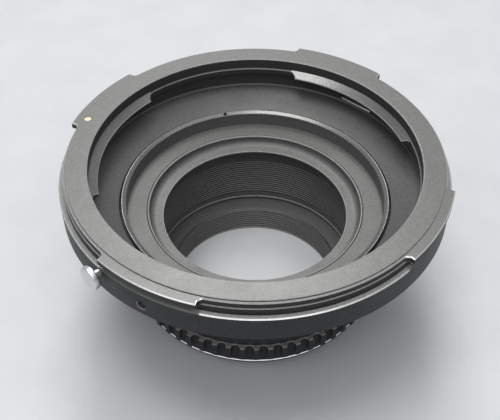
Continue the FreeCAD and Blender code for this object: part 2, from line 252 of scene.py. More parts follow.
def add_camera():
    data = bpy.data.cameras.new("camera")
    data.sensor_width = SENSOR_WIDTH
    data.sensor_fit = "HORIZONTAL"
    data.lens = FOCAL_PIXELS / IMAGE_WIDTH * SENSOR_WIDTH
    data.clip_start = 0.01
    camera = bpy.data.objects.new("camera", data)
    bpy.context.scene.collection.objects.link(camera)
    right = Vector((1, 0, 0))
    ahead = Vector((0, math.cos(CAMERA_ELEVATION), -math.sin(CAMERA_ELEVATION)))
    up = right.cross(ahead)
    place = Vector((0, 0, SEAT_Z * MM)) - CAMERA_DISTANCE * ahead
    pan_right = math.cos(CAMERA_PAN) * right + math.sin(CAMERA_PAN) * ahead
    pan_ahead = -math.sin(CAMERA_PAN) * right + math.cos(CAMERA_PAN) * ahead
    look = math.cos(CAMERA_TILT) * pan_ahead + math.sin(CAMERA_TILT) * up
    over = math.cos(CAMERA_TILT) * up - math.sin(CAMERA_TILT) * pan_ahead
    x = math.cos(CAMERA_ROLL) * pan_right + math.sin(CAMERA_ROLL) * over
    y = math.cos(CAMERA_ROLL) * over - math.sin(CAMERA_ROLL) * pan_right
    turn = Matrix((x, y, -look)).transposed().to_4x4()
    camera.matrix_world = Matrix.Translation(place) @ turn
    bpy.context.scene.camera = camera


# Outlines in plan, as (angle, radius) points in order of angle

def flank(root, tip, fillet, inset):
    """Plan of a lug's flank from its root circle to its tip circle, as (along, off) points."""
    out = 1 if tip > root else -1
    tip = tip - out * inset
    middle_x = math.sqrt((root + out * fillet) ** 2 - fillet ** 2)
    start = math.atan2(-out * fillet, -out * middle_x)
    end = -math.pi / 2
    points = []
    steps = 16
    for i in range(steps + 1):
        angle = start + (end - start) * i / steps
        x = middle_x + (fillet + inset) * math.cos(angle)
        y = fillet + (fillet + inset) * math.sin(angle)
        if out * (tip - math.hypot(x, y)) <= 0:
            break
        points.append((x, y))
    lean = 0.06
    x, y = points[-1]
    y = min(y, -inset) - lean if len(points) > steps else y - lean / 2
    points.append((math.sqrt(tip ** 2 - y ** 2), y))
    return points


def lug_outline(lugs, span, root, tip, fillet, inset=0.0):
    """Outline of a ring of lugs, drawn in by an inset."""
    outline = []
    for lug in lugs:
        for side in (-1, 1):
            wall = math.radians(lug + side * span / 2)
            for x, y in flank(root, tip, fillet, inset):
                outline.append(((wall + side * math.atan2(y, x)) % TAU, math.hypot(x, y)))
    return sorted(outline)


def flute_outline(inset=0.0):
    """Outline of the grip ring: flat lands between round flutes."""
    middle = RIB_ROOT_R + FLUTE_R
    wide = math.asin((FLUTE_R + inset) / middle)
    outline = []
    steps = 14
    inside = 0.999
    past = 0.0006
    for k in range(RIB_COUNT):
        azimuth = math.radians(RIB_AZIMUTH + 180 / RIB_COUNT) + TAU * k / RIB_COUNT
        for i in range(steps + 1):
            off = wide * inside * math.sin(math.pi / 2 * (2 * i / steps - 1))
            reach = math.sqrt((FLUTE_R + inset) ** 2 - (middle * math.sin(off)) ** 2)
            outline.append(((azimuth + off) % TAU, middle * math.cos(off) - reach))
        for side in (-1, 1):
            outline.append(((azimuth + side * (wide + past)) % TAU, RIB_R - inset))
    return sorted(outline)


def radius_at(outline, angle):
    """Radius of an outline at an angle."""
    k = bisect.bisect_left(outline, (angle, 0.0))
    a0, r0 = outline[k - 1]
    a1, r1 = outline[k % len(outline)]
    if k == 0:
        a0 -= TAU
    if k == len(outline):
        a1 += TAU
    if a1 - a0 < 1e-9:
        return r1
    return r0 + (r1 - r0) * (angle - a0) / (a1 - a0)


def columns(*outlines):
    """Angles of a mesh's columns: equal steps and every corner of the outlines."""
    wanted = [TAU * i / COLUMNS for i in range(COLUMNS)]
    for outline in outlines:
        wanted += [angle for angle, _ in outline]
    angles = []
    for angle in sorted(wanted):
        if not angles or angle - angles[-1] > COLUMN_GAP:
            angles.append(angle)
    return angles


# Meshes

def skin(rings, angles):
    """Closed ring-shaped skin. A ring is (radius, height, tone up to the next ring).

    Each of the three is one value or a list with a value per column.
    """
    count = len(angles)
    vertices = []
    for radius, height, _ in rings:
        for i, angle in enumerate(angles):
            r = radius[i] if isinstance(radius, list) else radius
            z = height[i] if isinstance(height, list) else height
            vertices.append((r * math.cos(angle) * MM, r * math.sin(angle) * MM, z * MM))
    faces = []
    tones = []
    for j in range(len(rings)):
        k = (j + 1) % len(rings)
        for i in range(count):
            n = (i + 1) % count
            faces.append((j * count + i, j * count + n, k * count + n, k * count + i))
            tone = rings[j][2]
            tones.append(tone[i] if isinstance(tone, list) else tone)
    return vertices, faces, tones


def level_axes(azimuth):
    """Directions outward, sideways and up at an azimuth."""
    along = Vector((math.cos(math.radians(azimuth)), math.sin(math.radians(azimuth)), 0))
    return along, Vector((-along.y, along.x, 0)), Vector((0, 0, 1))


def tube_faces(count, sides):
    """Faces of a closed tube through a number of rings of vertices."""
    faces = [tuple(range(sides - 1, -1, -1))]
    for j in range(count - 1):
        for i in range(sides):
            n = (i + 1) % sides
            k = j + 1
            faces.append((j * sides + i, j * sides + n, k * sides + n, k * sides + i))
    last = (count - 1) * sides
    faces.append(tuple(range(last, last + sides)))
    return faces


def turned_along(profile, azimuth, height, sides=ROUND_SIDES):
    """Solid turned about a level line from the optical axis, from (distance, radius)."""
    along, across, up = level_axes(azimuth)
    vertices = []
    for distance, radius in profile:
        for i in range(sides):
            angle = TAU * i / sides
            place = along * distance + (across * math.cos(angle) + up * math.sin(angle)) * radius
            vertices.append((place + up * height) * MM)
    return vertices, tube_faces(len(profile), sides)


def turned_up(profile, radius, azimuth, sides=ROUND_SIDES):
    """Solid turned about an upright line, from (height, radius)."""
    x = radius * math.cos(math.radians(azimuth))
    y = radius * math.sin(math.radians(azimuth))
    vertices = []
    for height, r in profile:
        for i in range(sides):
            angle = TAU * i / sides
            place = Vector((x + r * math.cos(angle), y + r * math.sin(angle), height))
            vertices.append(place * MM)
    return vertices, tube_faces(len(profile), sides)


def block(low, high, azimuth):
    """Box given at azimuth 0 and turned about the optical axis."""
    turn = Matrix.Rotation(math.radians(azimuth), 4, "Z")
    vertices = []
    for x in (low[0], high[0]):
        for y in (low[1], high[1]):
            for z in (low[2], high[2]):
                vertices.append(turn @ (Vector((x, y, z)) * MM))
    faces = [(0, 1, 3, 2), (4, 6, 7, 5), (0, 4, 5, 1), (2, 3, 7, 6), (0, 2, 6, 4), (1, 5, 7, 3)]
    return vertices, faces


def to_mesh(name, shape, tone=BLACK):
    vertices, faces = shape[:2]
    tones = shape[2] if len(shape) > 2 else [tone] * len(faces)
    mesh = bpy.data.meshes.new(name)
    mesh.from_pydata(vertices, [], faces)
    for material in tone_list:
        mesh.materials.append(material)
    mesh.polygons.foreach_set("material_index", tones)
    work = bmesh.new()
    work.from_mesh(mesh)
    bmesh.ops.remove_doubles(work, verts=work.verts, dist=WELD)
    bmesh.ops.dissolve_degenerate(work, edges=work.edges, dist=WELD)
    bmesh.ops.recalc_face_normals(work, faces=work.faces)
    work.to_mesh(mesh)
    work.free()
    return mesh


def add_object(name, mesh):
    piece = bpy.data.objects.new(name, mesh)
    bpy.context.scene.collection.objects.link(piece)
    return piece


def cut(mesh, cutters, tone=BLACK):
    """The mesh less some closed shapes, whose walls get one tone."""
    target = add_object("target", mesh)
    for shape in cutters:
        tool = add_object("tool", to_mesh("tool", shape, tone))
        step = target.modifiers.new("cut", "BOOLEAN")
        step.object = tool
        step.operation = "DIFFERENCE"
        step.solver = "EXACT"
        bpy.context.view_layer.update()
        graph = bpy.context.evaluated_depsgraph_get()
        result = bpy.data.meshes.new_from_object(target.evaluated_get(graph))
        target.modifiers.clear()
        target.data = result
        bpy.data.objects.remove(tool)
    result = target.data
    bpy.data.objects.remove(target)
    return result


def use_materials(mesh, materials):
    """Give a mesh those of the materials that its faces use."""
    places = [0] * len(mesh.polygons)
    mesh.polygons.foreach_get("material_index", places)
    used = sorted(set(places))
    mesh.materials.clear()
    for place in used:
        mesh.materials.append(materials[place])
    mesh.polygons.foreach_set("material_index", [used.index(place) for place in places])


def add_piece(name, mesh, body, materials, node, smooth=24):
    """A finished piece that stands for one of the solids."""
    mesh.name = name
    use_materials(mesh, materials)
    mesh.shade_smooth()
    mesh.set_sharp_from_angle(angle=math.radians(smooth))
    piece = add_object(name, mesh)
    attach(piece, body)
    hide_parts(node)
    return piece


def rounded(corners, steps=ROUND_STEPS):
    """Closed profile with round corners.

    A corner is (radius, height, fillet, tone up to the next corner, tone of the fillet).
    """
    result = []
    for k, (r, z, fillet, tone, round_tone) in enumerate(corners):
        here = Vector((r, z))
        back = (Vector(corners[k - 1][:2]) - here).normalized()
        on = (Vector(corners[(k + 1) % len(corners)][:2]) - here).normalized()
        if not fillet:
            result.append((r, z, tone))
            continue
        half = back.angle(on) / 2
        reach = fillet / math.tan(half)
        middle = here + (back + on).normalized() * fillet / math.sin(half)
        start = here + back * reach - middle
        turn = math.copysign(math.pi - 2 * half, back.y * on.x - back.x * on.y)
        result.append((*(here + back * (reach + GUARD)), corners[k - 1][3]))
        for i in range(steps + 1):
            way = Matrix.Rotation(turn * i / steps, 2) @ start
            result.append((*(middle + way), round_tone if i < steps else tone))
        result.append((*(here + on * (reach + GUARD)), tone))
    return result


def fine_grooves(radius, low, high, dark, light, crest):
    """Bore wall with fine saw-tooth grooves, from the top down. The undercut, the groove floor and the
    lower half of each upward flank take the dark tone as painted shade. The upper half of the flank
    takes the light tone as painted light, and the land takes the crest tone.
    """
    points = []
    count = int((high - low) / GROOVE_PITCH)
    floor_top, floor_end = GROOVE_FLOOR_SHARES
    flank_middle = (floor_end + 1) / 2
    for k in range(count):
        top = high - k * GROOVE_PITCH
        points += [
            (radius, top, crest),
            (radius, top - GROOVE_CREST_SHARE * GROOVE_PITCH, dark),
            (radius + GROOVE_DEPTH, top - floor_top * GROOVE_PITCH, dark),
            (radius + GROOVE_DEPTH, top - floor_end * GROOVE_PITCH, dark),
            (radius + GROOVE_DEPTH / 2, top - flank_middle * GROOVE_PITCH, light),
        ]
    points.append((radius, high - count * GROOVE_PITCH, crest))
    return points


def upward(points):
    """A line given from the top down, as rings from the bottom up."""
    tones = [tone for _, _, tone in points]
    tones = [*reversed(tones[:-1]), tones[0]]
    return [(r, z, tone) for (r, z, _), tone in zip(reversed(points), tones)]


# Pieces

def mount_body():
    """Wide ring with the outer and inner lugs, the bowl and the hub."""
    outer_sizes = (OUTER_LUGS, OUTER_LUG_SPAN, NOTCH_R, OUTER_LUG_R, NOTCH_FILLET)
    inner_sizes = (INNER_LUGS, INNER_LUG_SPAN, INNER_GAP_R, INNER_LUG_R, INNER_GAP_FILLET)
    outer = lug_outline(*outer_sizes)
    outer_in = lug_outline(*outer_sizes, EDGE_BREAK)
    inner = lug_outline(*inner_sizes)
    inner_in = lug_outline(*inner_sizes, EDGE)
    angles = columns(outer, outer_in, inner, inner_in)
    lug = [radius_at(outer, a) for a in angles]
    lug_in = [radius_at(outer_in, a) for a in angles]
    tip = [radius_at(inner, a) for a in angles]
    tip_in = [radius_at(inner_in, a) for a in angles]
    tip_top = [THROAT_LOW_Z - (THROAT_R - r) * INNER_SLOPE for r in tip_in]
    tip_edge = [THROAT_LOW_Z - (THROAT_R - r) * INNER_SLOPE - EDGE for r in tip]
    lug_low = [r - EDGE if r > GROOVE_R else r for r in lug]
    # Tones picked column by column. The lugs' top edge is bare metal, and the notches' edge is worn
    # with a painted highlight. The step is painted shade under a lug and painted light in a notch. The
    # wall's top edge is bare metal in a notch and takes the mid tone under a lug, as painted shade of
    # the lug. The gaps' slopes are painted shade, and their edges carry a dimmer painted highlight
    # than the lugs' worn edges.
    lug_wear_and_highlight = [BARE if r > NOTCH_R + TONE_MARGIN else WEAR_AND_HIGHLIGHT for r in lug]
    step_light_and_shade = [DEEP_SHADE if r > GROOVE_R else PAINTED_LIGHT for r in lug]
    wall_wear_and_shade = [MID_TONE if r > GROOVE_R else BARE for r in lug]
    slope_polish_and_shade = [POLISHED if r < INNER_GAP_R - TONE_MARGIN else SHADED for r in tip]
    edge_wear_and_highlight = [WEAR_AND_HIGHLIGHT if r < INNER_GAP_R - TONE_MARGIN else PAINTED_LIGHT for r in tip]
    # The step, the groove wall, the outer wall, the underside and the hub take the darkest tone as
    # painted shade. The lugs' inner faces and the throat wall take the shaded tone. The seat's outer
    # edge chamfer and the ledge take a light tone as painted light.
    rings = [
        (THROAT_R, SEAT_Z - EDGE_BREAK, WEAR_AND_HIGHLIGHT),
        (THROAT_R + EDGE_BREAK, SEAT_Z, RUBBED),
        (SEAT_R - EDGE, SEAT_Z, PAINTED_LIGHT),
        (SEAT_R, SEAT_Z - EDGE, DEEP_SHADE),
        (SEAT_R, LUG_TOP_Z, RUBBED),
        (lug_in, LUG_TOP_Z, lug_wear_and_highlight),
        (lug, LUG_TOP_Z - EDGE_BREAK, DEEP_SHADE),
        (lug, LUG_LOW_Z + EDGE, WEAR_AND_HIGHLIGHT),
        (lug_low, LUG_LOW_Z, step_light_and_shade),
        (GROOVE_R, LUG_LOW_Z, DEEP_SHADE),
        (GROOVE_R, LEDGE_Z, PAINTED_LIGHT),
        (WALL_R - EDGE_BREAK, LEDGE_Z, wall_wear_and_shade),
        (WALL_R, LEDGE_Z - EDGE_BREAK, DEEP_SHADE),
        (WALL_R, WALL_LOW_Z, DEEP_SHADE),
        (WALL_R - WALL_CHAMFER, UNDERSIDE_Z, DEEP_SHADE),
        (UNDERSIDE_EDGE_R, UNDERSIDE_Z, DEEP_SHADE),
        (HUB_R, HUB_TOP_Z, DEEP_SHADE),
        (HUB_R, HUB_LOW_Z + HUB_CHAMFER, DEEP_SHADE),
        (HUB_R - HUB_CHAMFER, HUB_LOW_Z, DEEP_SHADE),
        (SLEEVE_R + BORE_CLEARANCE, HUB_LOW_Z, BLACK),
        (SLEEVE_R + BORE_CLEARANCE, HUB_SHOULDER_Z, BLACK),
        (HUB_BORE_R, HUB_SHOULDER_Z, BLACK),
        (HUB_BORE_R, BOWL_LOW_Z - EDGE, POLISHED),
        (HUB_BORE_R + EDGE, BOWL_LOW_Z + EDGE * BOWL_SLOPE, BLACK),
        (UNDERCUT_R - EDGE * 2, BOWL_TOP_Z - EDGE * 2 * BOWL_SLOPE, BLACK),
        (UNDERCUT_R, BOWL_TOP_Z + EDGE * 2, BLACK),
        (UNDERCUT_R, UNDERCUT_TOP_Z, BLACK),
        (tip_in, UNDERCUT_TOP_Z, BLACK),
        (tip, UNDERCUT_TOP_Z + EDGE / 2, SHADED),
        (tip, tip_edge, edge_wear_and_highlight),
        (tip_in, tip_top, slope_polish_and_shade),
        (THROAT_R, THROAT_LOW_Z, SHADED),
    ]
    mesh = to_mesh("mount_body", skin(rings, angles))
    pocket = turned_along([(POCKET_START, POCKET_R), (POCKET_END, POCKET_R)], LOCK_AZIMUTH, LOCK_Z)
    stem = turned_along([(x, STEM_R + STEM_CLEARANCE) for x in STEM_HOLE], LOCK_AZIMUTH, LOCK_Z)
    stop = turned_along([(STOP_START, STOP_R), (WALL_R + CUT_PAST, STOP_R)], STOP_AZIMUTH, STOP_Z)
    mouth = turned_along([(WALL_R + x, STOP_R + r) for x, r in STOP_MOUTH], STOP_AZIMUTH, STOP_Z)
    slot = block(*SLOT, SLOT_AZIMUTH)
    slot_floor = block(*SLOT_FLOOR, SLOT_AZIMUTH)
    dot_ends = (SEAT_Z - INDEX_DEPTH, SEAT_Z + CUT_PAST)
    dot = turned_up([(z, INDEX_R + INDEX_CLEARANCE) for z in dot_ends], INDEX_RADIUS, INDEX_AZIMUTH)
    mesh = cut(mesh, [pocket, stem, stop, dot, slot])
    # The stop hole's mouth takes a light tone as a painted glint. The tool slot's floor is bare metal,
    # chosen as painted light on the shaded floor.
    mesh = cut(mesh, [mouth], PAINTED_LIGHT)
    return cut(mesh, [slot_floor], BARE)


def clamp_ring():
    """Retaining ring with a bevelled lip and two spanner slots."""
    thread = HUB_BORE_R - SEAT_CLEARANCE
    thread_top = SLEEVE_TOP_Z + RING_THREAD
    profile = rounded([
        (RING_BORE_R, SLEEVE_TOP_Z, 0, MID_TONE, MID_TONE),
        (thread, SLEEVE_TOP_Z, 0, MID_TONE, MID_TONE),
        (thread, thread_top, 0, MID_TONE, MID_TONE),
        (RING_LIP_R, thread_top + thread - RING_LIP_R, 0, MID_TONE, MID_TONE),
        (RING_LIP_R, RING_TOP_Z, LIP_EDGE_FILLET, POLISHED, POLISHED),
        (RING_LIP_R - LIP_RIM, RING_TOP_Z - LIP_RIM_DROP, LIP_RIM_FILLET, POLISHED, POLISHED),
        (RING_BORE_R, RING_TOP_Z - LIP_DROP, LIP_BORE_FILLET, MID_TONE, POLISHED),
    ])
    mesh = to_mesh("clamp_ring", skin(profile, columns()))
    near, far = SPANNER_SLOT_REACH
    low = (near, -SPANNER_SLOT_HALF, RING_TOP_Z - SPANNER_SLOT_DEPTH)
    high = (far, SPANNER_SLOT_HALF, RING_TOP_Z + CUT_PAST)
    return cut(mesh, [block(low, high, azimuth) for azimuth in SPANNER_SLOTS])


def tube():
    """Flanged sleeve with a grooved bore, turned in steps below the grooves."""
    flange = HUB_BORE_R - SEAT_CLEARANCE
    # The plain strip under the baffle takes the shaded tone. In the grooves the shade is painted in
    # the darkest tone and the lit flanks in the mid tone.
    wall = [(SLEEVE_BORE_R, SLEEVE_PLAIN_Z, SHADED)]
    wall += fine_grooves(SLEEVE_BORE_R, *SLEEVE_GROOVES_Z, DEEP_SHADE, MID_TONE, BLACK)
    wall += [(SLEEVE_BORE_R + past, z, tone) for past, z, tone in SLEEVE_STEPS]
    profile = rounded([
        (SLEEVE_BORE_R, BAFFLE_LOW_Z, 0, MID_TONE, MID_TONE),
        (BAFFLE_R, BAFFLE_LOW_Z, 0, MID_TONE, MID_TONE),
        (BAFFLE_R, SLEEVE_TOP_Z, SLEEVE_SEAT_FILLET, MID_TONE, MID_TONE),
        (flange, SLEEVE_TOP_Z, SLEEVE_FILLET, MID_TONE, MID_TONE),
        (flange, HUB_SHOULDER_Z, SLEEVE_FILLET, DEEP_SHADE, MID_TONE),
        (SLEEVE_R, HUB_SHOULDER_Z, 0, DEEP_SHADE, DEEP_SHADE),
        (SLEEVE_R, RIB_RING_TOP_Z, SLEEVE_FILLET, DEEP_SHADE, DEEP_SHADE),
        (FOOT_R, RIB_RING_TOP_Z, 0, DEEP_SHADE, DEEP_SHADE),
        (FOOT_R, FOOT_Z, SLEEVE_FILLET, DEEP_SHADE, DEEP_SHADE),
        (SLEEVE_BORE_R + FOOT_BORE_STEP, FOOT_Z, 0, MID_TONE, MID_TONE),
    ])
    profile += upward(wall)
    mesh = to_mesh("tube", skin(profile, columns()))
    hole = [(FOOT_Z - CUT_PAST, SCREW_HOLE_R), (SCREW_HOLE_TOP_Z, SCREW_HOLE_R)]
    return cut(mesh, [turned_up(hole, SCREW_CIRCLE_R, azimuth, HOLE_SIDES) for azimuth in SCREWS])


def baffle():
    """Light baffle: a flat ring with a raised rim over a cove."""
    outer = BAFFLE_R - SEAT_CLEARANCE
    rim = outer - BAFFLE_RIM_WIDTH
    # The rim's top and its round take a light tone as a painted highlight line. The aperture's round
    # takes the pale edge tone, wear with a painted highlight.
    profile = rounded([
        (BAFFLE_APERTURE_R, BAFFLE_TOP_Z, BAFFLE_APERTURE_FILLET, MID_TONE, WEAR_AND_HIGHLIGHT),
        (rim, BAFFLE_TOP_Z, BAFFLE_COVE, MID_TONE, MID_TONE),
        (rim, SLEEVE_TOP_Z, BAFFLE_RIM_FILLET, PAINTED_LIGHT, PAINTED_LIGHT),
        (outer, SLEEVE_TOP_Z, BAFFLE_SEAT_FILLET, MID_TONE, BLACK),
        (outer, BAFFLE_LOW_Z, BAFFLE_FOOT_FILLET, MID_TONE, MID_TONE),
        (BAFFLE_APERTURE_R + BAFFLE_BEVEL, BAFFLE_LOW_Z, 0, MID_TONE, MID_TONE),
        (BAFFLE_APERTURE_R, BAFFLE_TOP_Z - BAFFLE_EDGE, 0, MID_TONE, MID_TONE),
    ])
    return to_mesh("baffle", skin(profile, columns()))


def grip_ring():
    """Ring of ribs between two plain collars."""
    outline = flute_outline()
    inner = flute_outline(RIB_CHAMFER)
    angles = columns(outline, inner)
    land = [radius_at(outline, a) for a in angles]
    land_in = [max(radius_at(inner, a), RIB_COLLAR_R) for a in angles]
    bore = FOOT_R + BORE_CLEARANCE
    # The land tops and their top chamfers take a light tone as painted light, the collar's band takes
    # the rubbed tone, and the rest takes the darkest tone as painted shade.
    rings = [
        (bore, FOOT_Z, DEEP_SHADE),
        (RIB_COLLAR_R - EDGE, FOOT_Z, DEEP_SHADE),
        (RIB_COLLAR_R, FOOT_Z + EDGE, DEEP_SHADE),
        (RIB_COLLAR_R, RIB_LOW_Z, DEEP_SHADE),
        (land_in, RIB_LOW_Z, DEEP_SHADE),
        (land, RIB_LOW_Z + RIB_CHAMFER, DEEP_SHADE),
        (land, RIB_HIGH_Z - RIB_CHAMFER, PAINTED_LIGHT),
        (land_in, RIB_HIGH_Z, PAINTED_LIGHT),
        (RIB_COLLAR_R, RIB_HIGH_Z, DEEP_SHADE),
        (RIB_COLLAR_R, RIB_RING_TOP_Z - EDGE, RUBBED),
        (RIB_COLLAR_R - EDGE, RIB_RING_TOP_Z, DEEP_SHADE),
        (bore, RIB_RING_TOP_Z, DEEP_SHADE),
    ]
    return to_mesh("grip_ring", skin(rings, angles))


def camera_plate():
    """Camera bayonet: a flange and a spigot with three lugs round a grooved bore."""
    sizes = (CAMERA_LUGS, CAMERA_LUG_SPAN, SPIGOT_R, CAMERA_LUG_R, CAMERA_LUG_FILLET)
    outline = lug_outline(*sizes)
    inset = lug_outline(*sizes, EDGE)
    angles = columns(outline, inset)
    lug = [max(radius_at(outline, a), SPIGOT_R) for a in angles]
    lug_in = [max(radius_at(inset, a), SPIGOT_R) for a in angles]
    # In the bore's grooves the shade is painted in the darkest tone, the lit flanks in a light tone,
    # and the lands in the palest tone as painted highlight lines. Outside, the walls and the lugs take
    # the darkest tone as painted shade, and the flange's top inside the tube takes a light tone as
    # painted light. The pale edges are wear with a painted highlight.
    wall = fine_grooves(REAR_BORE_R, *REAR_GROOVES_Z, DEEP_SHADE, MILD_LIGHT, PAINTED_LIGHT)
    rings = [
        (REAR_BORE_R + REAR_EDGE, 0, DEEP_SHADE),
        (SPIGOT_R - EDGE_BREAK, 0, WEAR_AND_HIGHLIGHT),
        (SPIGOT_R, EDGE_BREAK, DEEP_SHADE),
        (SPIGOT_R, CAMERA_LUG_LOW_Z, DEEP_SHADE),
        (lug_in, CAMERA_LUG_LOW_Z, WEAR_AND_HIGHLIGHT),
        (lug, CAMERA_LUG_LOW_Z + EDGE, DEEP_SHADE),
        (lug, CAMERA_LUG_HIGH_Z - EDGE, WEAR_AND_HIGHLIGHT),
        (lug_in, CAMERA_LUG_HIGH_Z, DEEP_SHADE),
        (SPIGOT_R, CAMERA_LUG_HIGH_Z, DEEP_SHADE),
        (SPIGOT_R, CAMERA_FACE_Z, RUBBED),
        (CAMERA_FLANGE_R - EDGE_BREAK, CAMERA_FACE_Z, WEAR_AND_HIGHLIGHT),
        (CAMERA_FLANGE_R, CAMERA_FACE_Z + EDGE_BREAK, DEEP_SHADE),
        (CAMERA_FLANGE_R, FOOT_Z - EDGE_BREAK, BARE),
        (CAMERA_FLANGE_R - EDGE_BREAK, FOOT_Z, MILD_LIGHT),
        (REAR_BORE_R + REAR_CHAMFER, FOOT_Z, BLACK),
        (REAR_BORE_R, FOOT_Z - REAR_CHAMFER, MID_TONE),
        *wall,
        (REAR_BORE_R, REAR_EDGE, MID_TONE),
    ]
    mesh = to_mesh("camera_plate", skin(rings, angles))
    hole = [
        (SCREW_HEAD_LOW_Z, SCREW_HEAD_R),
        (CAMERA_FACE_Z, SCREW_HEAD_R),
        (CAMERA_FACE_Z + SCREW_SINK, SCREW_HOLE_R),
        (FOOT_Z + CUT_PAST, SCREW_HOLE_R),
    ]
    cutters = [turned_up(hole, SCREW_CIRCLE_R, azimuth) for azimuth in SCREWS]
    return cut(mesh, [*cutters, block(*CAMERA_NOTCH, 0)])


def pull_head():
    """Turned mushroom head with a rounded rim and a slightly domed face."""
    bore_margin = 0.05
    profile = [(HEAD_BACK, STEM_R + bore_margin)]
    for k in range(ROUND_STEPS + 1):
        angle = math.pi / 2 * k / ROUND_STEPS
        distance = HEAD_BACK + HEAD_BACK_ROUND * (1 - math.cos(angle))
        profile.append((distance, HEAD_R - HEAD_BACK_ROUND * (1 - math.sin(angle))))
    for k in range(ROUND_STEPS + 1):
        angle = math.pi / 2 * k / ROUND_STEPS
        distance = HEAD_FACE - HEAD_DOME - HEAD_FACE_ROUND * (1 - math.sin(angle))
        profile.append((distance, HEAD_R - HEAD_FACE_ROUND * (1 - math.cos(angle))))
    for k in range(1, DOME_STEPS):
        rest = 1 - k / DOME_STEPS
        profile.append((HEAD_FACE - HEAD_DOME * rest ** 2, (HEAD_R - HEAD_FACE_ROUND) * rest))
    return to_mesh("pull_head", turned_along(profile, LOCK_AZIMUTH, LOCK_Z, HEAD_SIDES))


def coil_spring():
    """Compression spring round the stem of the lock pin."""
    along, across, up = level_axes(LOCK_AZIMUTH)
    steps = SPRING_STEPS * SPRING_TURNS
    first = SPRING_START + SPRING_WIRE_R
    last = SPRING_END - SPRING_WIRE_R
    vertices = []
    for i in range(steps + 1):
        turn = TAU * SPRING_TURNS * i / steps
        outward = across * math.cos(turn) + up * math.sin(turn)
        middle = along * (first + (last - first) * i / steps) + outward * SPRING_R + up * LOCK_Z
        for k in range(SPRING_SIDES):
            angle = TAU * k / SPRING_SIDES
            way = outward * math.cos(angle) + along * math.sin(angle)
            vertices.append((middle + way * SPRING_WIRE_R) * MM)
    return to_mesh("coil_spring", (vertices, tube_faces(steps + 1, SPRING_SIDES)))


def enamel_dot():
    """Enamel drop, a little hollow at its rim."""
    rim = SEAT_Z - ENAMEL_DROP - ENAMEL_RIM
    profile = [(SEAT_Z - INDEX_DEPTH, INDEX_R), (rim, INDEX_R)]
    for k in range(1, DOME_STEPS):
        angle = math.pi / 2 * k / DOME_STEPS
        profile.append((rim + ENAMEL_DOME * math.sin(angle), INDEX_R * math.cos(angle)))
    return to_mesh("enamel_dot", turned_up(profile, INDEX_RADIUS, INDEX_AZIMUTH))


# Materials

def new_material(name):
    material = bpy.data.materials.new(name)
    material.use_nodes = True
    tree = material.node_tree
    return material, tree, tree.nodes["Principled BSDF"]


def add_node(tree, kind, **inputs):
    node = tree.nodes.new(kind)
    for key, value in inputs.items():
        node.inputs[key.replace("_", " ")].default_value = value
    return node


def noise(tree, scale, detail, roughness):
    place = tree.nodes.new("ShaderNodeTexCoord")
    node = add_node(tree, "ShaderNodeTexNoise", Scale=scale, Detail=detail, Roughness=roughness)
    tree.links.new(place.outputs["Object"], node.inputs["Vector"])
    return node


def ramp(tree, source, low, high, start=NOISE_LOW, end=NOISE_HIGH):
    """Colour that goes from low to high over a range of the noise."""
    node = tree.nodes.new("ShaderNodeValToRGB")
    node.color_ramp.elements[0].position = start
    node.color_ramp.elements[1].position = end
    node.color_ramp.elements[0].color = (*low, 1)
    node.color_ramp.elements[1].color = (*high, 1)
    tree.links.new(source, node.inputs["Fac"])
    return node.outputs["Color"]


def spread(tree, source, low, high):
    """Value that goes from low to high over the used range of the noise."""
    node = tree.nodes.new("ShaderNodeMapRange")
    node.inputs["From Min"].default_value = NOISE_LOW
    node.inputs["From Max"].default_value = NOISE_HIGH
    node.inputs["To Min"].default_value = low
    node.inputs["To Max"].default_value = high
    tree.links.new(source, node.inputs["Value"])
    return node.outputs["Result"]


def anodised(name, dark, light, smoothest, roughest, gloss):
    """Black anodised aluminium over fine blasting."""
    material, tree, shader = new_material(name)
    shader.inputs["Specular IOR Level"].default_value = gloss
    shader.inputs["IOR"].default_value = 1.5
    grain = noise(tree, GRAIN_SCALE, 4.0, 0.65)
    cloud = noise(tree, CLOUD_SCALE, 4.0, 0.6)
    tree.links.new(ramp(tree, grain.outputs["Fac"], dark, light), shader.inputs["Base Color"])
    tree.links.new(spread(tree, cloud.outputs["Fac"], smoothest, roughest), shader.inputs["Roughness"])
    bump = add_node(tree, "ShaderNodeBump", Strength=BUMP_STRENGTH, Distance=BUMP_HEIGHT)
    tree.links.new(grain.outputs["Fac"], bump.inputs["Height"])
    tree.links.new(bump.outputs["Normal"], shader.inputs["Normal"])
    return material


def metal(name, dark, light, smoothest, roughest, scale):
    """Bare metal with a fine grain."""
    material, tree, shader = new_material(name)
    shader.inputs["Metallic"].default_value = 1.0
    grain = noise(tree, scale, 4.0, 0.6)
    tree.links.new(ramp(tree, grain.outputs["Fac"], dark, light), shader.inputs["Base Color"])
    tree.links.new(spread(tree, grain.outputs["Fac"], smoothest, roughest), shader.inputs["Roughness"])
    return material


def enamel():
    """Pale glossy enamel."""
    material, tree, shader = new_material("enamel")
    shader.inputs["Roughness"].default_value = 0.3
    shader.inputs["Coat Weight"].default_value = 0.4
    cloud = noise(tree, 900.0, 3.0, 0.6)
    tree.links.new(
        ramp(tree, cloud.outputs["Fac"], (0.84, 0.60, 0.36), (0.94, 0.80, 0.58), 0.35, 0.65),
        shader.inputs["Base Color"])
    return material


